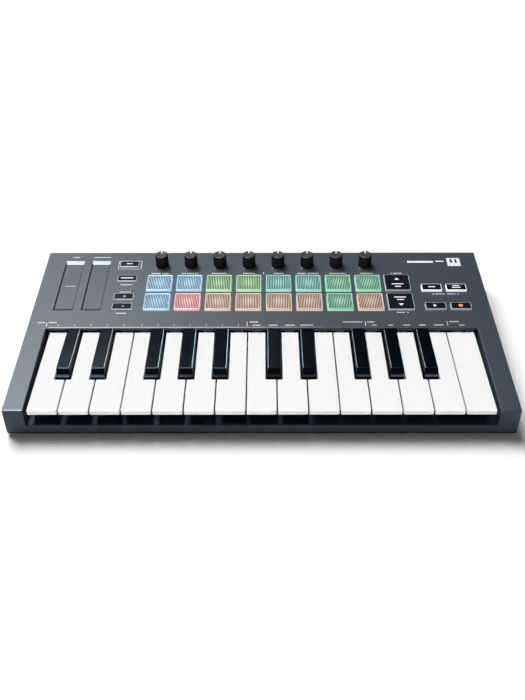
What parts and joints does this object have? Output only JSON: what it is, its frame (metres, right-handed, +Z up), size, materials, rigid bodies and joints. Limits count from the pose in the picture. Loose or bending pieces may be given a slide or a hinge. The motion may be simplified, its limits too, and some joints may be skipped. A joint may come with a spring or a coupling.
{
  "type": "midi keyboard",
  "caption": "Compact MIDI keyboard controller: mini keys, lit pads, rotary knobs, touch strips and buttons in a low blue-grey case.",
  "frame": {"origin": "on the surface the feet stand on, under the middle of the case", "axes": "+X to the player's right, along the keyboard; +Y to the back of the case; +Z up"},
  "size_m": [0.33, 0.172, 0.0389],
  "materials": {
    "case": "fine satin, moulded blue-grey",
    "black_plastic": "matte black",
    "rubber": "matte",
    "strip": "smooth satin",
    "pad": "translucent silicone, lit from below",
    "circuit_board": "green solder mask",
    "steel": "plated",
    "white_key": "semi-gloss",
    "black_key": "satin",
    "knob": "matte black",
    "button": "matte black with a pale light-pipe rim"
  },
  "bodies": {
    "case": {"top_casing": "case", "bottom_casing": "black_plastic", "rubber_feet": "rubber", "touch_strips": "strip", "pad_mat": "pad", "control_pcb": "circuit_board", "button_switches": "black_plastic", "potentiometers": "steel", "key_chassis": "black_plastic", "key_pivot_rod": "steel", "key_pcb": "circuit_board", "key_contact_strip": "rubber", "key_springs": "steel", "usb_port": "steel", "sustain_jack": "black_plastic", "midi_out_jack": "black_plastic", "screws": "steel"},
    "white_key_c1": {"white_key_c1": "white_key"},
    "black_key_cs1": {"black_key_cs1": "black_key"},
    "white_key_d1": {"white_key_d1": "white_key"},
    "black_key_ds1": {"black_key_ds1": "black_key"},
    "white_key_e1": {"white_key_e1": "white_key"},
    "white_key_f1": {"white_key_f1": "white_key"},
    "black_key_fs1": {"black_key_fs1": "black_key"},
    "white_key_g1": {"white_key_g1": "white_key"},
    "black_key_gs1": {"black_key_gs1": "black_key"},
    "white_key_a1": {"white_key_a1": "white_key"},
    "black_key_as1": {"black_key_as1": "black_key"},
    "white_key_b1": {"white_key_b1": "white_key"},
    "white_key_c2": {"white_key_c2": "white_key"},
    "black_key_cs2": {"black_key_cs2": "black_key"},
    "white_key_d2": {"white_key_d2": "white_key"},
    "black_key_ds2": {"black_key_ds2": "black_key"},
    "white_key_e2": {"white_key_e2": "white_key"},
    "white_key_f2": {"white_key_f2": "white_key"},
    "black_key_fs2": {"black_key_fs2": "black_key"},
    "white_key_g2": {"white_key_g2": "white_key"},
    "black_key_gs2": {"black_key_gs2": "black_key"},
    "white_key_a2": {"white_key_a2": "white_key"},
    "black_key_as2": {"black_key_as2": "black_key"},
    "white_key_b2": {"white_key_b2": "white_key"},
    "white_key_c3": {"white_key_c3": "white_key"},
    "knob_1": {"knob_1": "knob"},
    "knob_2": {"knob_2": "knob"},
    "knob_3": {"knob_3": "knob"},
    "knob_4": {"knob_4": "knob"},
    "knob_5": {"knob_5": "knob"},
    "knob_6": {"knob_6": "knob"},
    "knob_7": {"knob_7": "knob"},
    "knob_8": {"knob_8": "knob"},
    "shift_button": {"shift_button": "button"},
    "transpose_button": {"transpose_button": "button"},
    "octave_up_button": {"octave_up_button": "button"},
    "octave_down_button": {"octave_down_button": "button"},
    "page_up_button": {"page_up_button": "button"},
    "page_down_button": {"page_down_button": "button"},
    "scale_button": {"scale_button": "button"},
    "note_repeat_button": {"note_repeat_button": "button"},
    "play_button": {"play_button": "button"},
    "record_button": {"record_button": "button"}
  },
  "joints": [
    {"name": "white_key_c1_press", "type": "hinge", "parent": "case", "child": "white_key_c1", "pos_m": [0, 0.007, 0.0155], "axis": [1, 0, 0], "range_deg": [0, 2.7], "stiffness_Nm_per_rad": 0.25, "springref_deg": -9.17, "deforming": ["key_springs"]},
    {"name": "black_key_cs1_press", "type": "hinge", "parent": "case", "child": "black_key_cs1", "pos_m": [0, 0.007, 0.0155], "axis": [1, 0, 0], "range_deg": [0, 2.7], "stiffness_Nm_per_rad": 0.25, "springref_deg": -9.17, "deforming": ["key_springs"]},
    {"name": "white_key_d1_press", "type": "hinge", "parent": "case", "child": "white_key_d1", "pos_m": [0, 0.007, 0.0155], "axis": [1, 0, 0], "range_deg": [0, 2.7], "stiffness_Nm_per_rad": 0.25, "springref_deg": -9.17, "deforming": ["key_springs"]},
    {"name": "black_key_ds1_press", "type": "hinge", "parent": "case", "child": "black_key_ds1", "pos_m": [0, 0.007, 0.0155], "axis": [1, 0, 0], "range_deg": [0, 2.7], "stiffness_Nm_per_rad": 0.25, "springref_deg": -9.17, "deforming": ["key_springs"]},
    {"name": "white_key_e1_press", "type": "hinge", "parent": "case", "child": "white_key_e1", "pos_m": [0, 0.007, 0.0155], "axis": [1, 0, 0], "range_deg": [0, 2.7], "stiffness_Nm_per_rad": 0.25, "springref_deg": -9.17, "deforming": ["key_springs"]},
    {"name": "white_key_f1_press", "type": "hinge", "parent": "case", "child": "white_key_f1", "pos_m": [0, 0.007, 0.0155], "axis": [1, 0, 0], "range_deg": [0, 2.7], "stiffness_Nm_per_rad": 0.25, "springref_deg": -9.17, "deforming": ["key_springs"]},
    {"name": "black_key_fs1_press", "type": "hinge", "parent": "case", "child": "black_key_fs1", "pos_m": [0, 0.007, 0.0155], "axis": [1, 0, 0], "range_deg": [0, 2.7], "stiffness_Nm_per_rad": 0.25, "springref_deg": -9.17, "deforming": ["key_springs"]},
    {"name": "white_key_g1_press", "type": "hinge", "parent": "case", "child": "white_key_g1", "pos_m": [0, 0.007, 0.0155], "axis": [1, 0, 0], "range_deg": [0, 2.7], "stiffness_Nm_per_rad": 0.25, "springref_deg": -9.17, "deforming": ["key_springs"]},
    {"name": "black_key_gs1_press", "type": "hinge", "parent": "case", "child": "black_key_gs1", "pos_m": [0, 0.007, 0.0155], "axis": [1, 0, 0], "range_deg": [0, 2.7], "stiffness_Nm_per_rad": 0.25, "springref_deg": -9.17, "deforming": ["key_springs"]},
    {"name": "white_key_a1_press", "type": "hinge", "parent": "case", "child": "white_key_a1", "pos_m": [0, 0.007, 0.0155], "axis": [1, 0, 0], "range_deg": [0, 2.7], "stiffness_Nm_per_rad": 0.25, "springref_deg": -9.17, "deforming": ["key_springs"]},
    {"name": "black_key_as1_press", "type": "hinge", "parent": "case", "child": "black_key_as1", "pos_m": [0, 0.007, 0.0155], "axis": [1, 0, 0], "range_deg": [0, 2.7], "stiffness_Nm_per_rad": 0.25, "springref_deg": -9.17, "deforming": ["key_springs"]},
    {"name": "white_key_b1_press", "type": "hinge", "parent": "case", "child": "white_key_b1", "pos_m": [0, 0.007, 0.0155], "axis": [1, 0, 0], "range_deg": [0, 2.7], "stiffness_Nm_per_rad": 0.25, "springref_deg": -9.17, "deforming": ["key_springs"]},
    {"name": "white_key_c2_press", "type": "hinge", "parent": "case", "child": "white_key_c2", "pos_m": [0, 0.007, 0.0155], "axis": [1, 0, 0], "range_deg": [0, 2.7], "stiffness_Nm_per_rad": 0.25, "springref_deg": -9.17, "deforming": ["key_springs"]},
    {"name": "black_key_cs2_press", "type": "hinge", "parent": "case", "child": "black_key_cs2", "pos_m": [0, 0.007, 0.0155], "axis": [1, 0, 0], "range_deg": [0, 2.7], "stiffness_Nm_per_rad": 0.25, "springref_deg": -9.17, "deforming": ["key_springs"]},
    {"name": "white_key_d2_press", "type": "hinge", "parent": "case", "child": "white_key_d2", "pos_m": [0, 0.007, 0.0155], "axis": [1, 0, 0], "range_deg": [0, 2.7], "stiffness_Nm_per_rad": 0.25, "springref_deg": -9.17, "deforming": ["key_springs"]},
    {"name": "black_key_ds2_press", "type": "hinge", "parent": "case", "child": "black_key_ds2", "pos_m": [0, 0.007, 0.0155], "axis": [1, 0, 0], "range_deg": [0, 2.7], "stiffness_Nm_per_rad": 0.25, "springref_deg": -9.17, "deforming": ["key_springs"]},
    {"name": "white_key_e2_press", "type": "hinge", "parent": "case", "child": "white_key_e2", "pos_m": [0, 0.007, 0.0155], "axis": [1, 0, 0], "range_deg": [0, 2.7], "stiffness_Nm_per_rad": 0.25, "springref_deg": -9.17, "deforming": ["key_springs"]},
    {"name": "white_key_f2_press", "type": "hinge", "parent": "case", "child": "white_key_f2", "pos_m": [0, 0.007, 0.0155], "axis": [1, 0, 0], "range_deg": [0, 2.7], "stiffness_Nm_per_rad": 0.25, "springref_deg": -9.17, "deforming": ["key_springs"]},
    {"name": "black_key_fs2_press", "type": "hinge", "parent": "case", "child": "black_key_fs2", "pos_m": [0, 0.007, 0.0155], "axis": [1, 0, 0], "range_deg": [0, 2.7], "stiffness_Nm_per_rad": 0.25, "springref_deg": -9.17, "deforming": ["key_springs"]},
    {"name": "white_key_g2_press", "type": "hinge", "parent": "case", "child": "white_key_g2", "pos_m": [0, 0.007, 0.0155], "axis": [1, 0, 0], "range_deg": [0, 2.7], "stiffness_Nm_per_rad": 0.25, "springref_deg": -9.17, "deforming": ["key_springs"]},
    {"name": "black_key_gs2_press", "type": "hinge", "parent": "case", "child": "black_key_gs2", "pos_m": [0, 0.007, 0.0155], "axis": [1, 0, 0], "range_deg": [0, 2.7], "stiffness_Nm_per_rad": 0.25, "springref_deg": -9.17, "deforming": ["key_springs"]},
    {"name": "white_key_a2_press", "type": "hinge", "parent": "case", "child": "white_key_a2", "pos_m": [0, 0.007, 0.0155], "axis": [1, 0, 0], "range_deg": [0, 2.7], "stiffness_Nm_per_rad": 0.25, "springref_deg": -9.17, "deforming": ["key_springs"]},
    {"name": "black_key_as2_press", "type": "hinge", "parent": "case", "child": "black_key_as2", "pos_m": [0, 0.007, 0.0155], "axis": [1, 0, 0], "range_deg": [0, 2.7], "stiffness_Nm_per_rad": 0.25, "springref_deg": -9.17, "deforming": ["key_springs"]},
    {"name": "white_key_b2_press", "type": "hinge", "parent": "case", "child": "white_key_b2", "pos_m": [0, 0.007, 0.0155], "axis": [1, 0, 0], "range_deg": [0, 2.7], "stiffness_Nm_per_rad": 0.25, "springref_deg": -9.17, "deforming": ["key_springs"]},
    {"name": "white_key_c3_press", "type": "hinge", "parent": "case", "child": "white_key_c3", "pos_m": [0, 0.007, 0.0155], "axis": [1, 0, 0], "range_deg": [0, 2.7], "stiffness_Nm_per_rad": 0.25, "springref_deg": -9.17, "deforming": ["key_springs"]},
    {"name": "knob_1_turn", "type": "hinge", "parent": "case", "child": "knob_1", "pos_m": [-0.0762, 0.06975, 0.0287], "axis": [0, -0.0436, 0.999], "range_deg": [-135, 135]},
    {"name": "knob_2_turn", "type": "hinge", "parent": "case", "child": "knob_2", "pos_m": [-0.0541, 0.06975, 0.0287], "axis": [0, -0.0436, 0.999], "range_deg": [-135, 135]},
    {"name": "knob_3_turn", "type": "hinge", "parent": "case", "child": "knob_3", "pos_m": [-0.032, 0.06975, 0.0287], "axis": [0, -0.0436, 0.999], "range_deg": [-135, 135]},
    {"name": "knob_4_turn", "type": "hinge", "parent": "case", "child": "knob_4", "pos_m": [-0.0099, 0.06975, 0.0287], "axis": [0, -0.0436, 0.999], "range_deg": [-135, 135]},
    {"name": "knob_5_turn", "type": "hinge", "parent": "case", "child": "knob_5", "pos_m": [0.0122, 0.06975, 0.0287], "axis": [0, -0.0436, 0.999], "range_deg": [-135, 135]},
    {"name": "knob_6_turn", "type": "hinge", "parent": "case", "child": "knob_6", "pos_m": [0.0343, 0.06975, 0.0287], "axis": [0, -0.0436, 0.999], "range_deg": [-135, 135]},
    {"name": "knob_7_turn", "type": "hinge", "parent": "case", "child": "knob_7", "pos_m": [0.0564, 0.06975, 0.0287], "axis": [0, -0.0436, 0.999], "range_deg": [-135, 135]},
    {"name": "knob_8_turn", "type": "hinge", "parent": "case", "child": "knob_8", "pos_m": [0.0785, 0.06975, 0.0287], "axis": [0, -0.0436, 0.999], "range_deg": [-135, 135]},
    {"name": "shift_button_press", "type": "slide", "parent": "case", "child": "shift_button", "axis": [0, 0.0436, -0.999], "range_m": [0, 0.001], "stiffness_N_per_m": 400, "springref_m": -0.003},
    {"name": "transpose_button_press", "type": "slide", "parent": "case", "child": "transpose_button", "axis": [0, 0.0436, -0.999], "range_m": [0, 0.001], "stiffness_N_per_m": 400, "springref_m": -0.003},
    {"name": "octave_up_button_press", "type": "slide", "parent": "case", "child": "octave_up_button", "axis": [0, 0.0436, -0.999], "range_m": [0, 0.001], "stiffness_N_per_m": 400, "springref_m": -0.003},
    {"name": "octave_down_button_press", "type": "slide", "parent": "case", "child": "octave_down_button", "axis": [0, 0.0436, -0.999], "range_m": [0, 0.001], "stiffness_N_per_m": 400, "springref_m": -0.003},
    {"name": "page_up_button_press", "type": "slide", "parent": "case", "child": "page_up_button", "axis": [0, 0.0436, -0.999], "range_m": [0, 0.001], "stiffness_N_per_m": 400, "springref_m": -0.003},
    {"name": "page_down_button_press", "type": "slide", "parent": "case", "child": "page_down_button", "axis": [0, 0.0436, -0.999], "range_m": [0, 0.001], "stiffness_N_per_m": 400, "springref_m": -0.003},
    {"name": "scale_button_press", "type": "slide", "parent": "case", "child": "scale_button", "axis": [0, 0.0436, -0.999], "range_m": [0, 0.001], "stiffness_N_per_m": 400, "springref_m": -0.003},
    {"name": "note_repeat_button_press", "type": "slide", "parent": "case", "child": "note_repeat_button", "axis": [0, 0.0436, -0.999], "range_m": [0, 0.001], "stiffness_N_per_m": 400, "springref_m": -0.003},
    {"name": "play_button_press", "type": "slide", "parent": "case", "child": "play_button", "axis": [0, 0.0436, -0.999], "range_m": [0, 0.001], "stiffness_N_per_m": 400, "springref_m": -0.003},
    {"name": "record_button_press", "type": "slide", "parent": "case", "child": "record_button", "axis": [0, 0.0436, -0.999], "range_m": [0, 0.001], "stiffness_N_per_m": 400, "springref_m": -0.003}
  ]
}
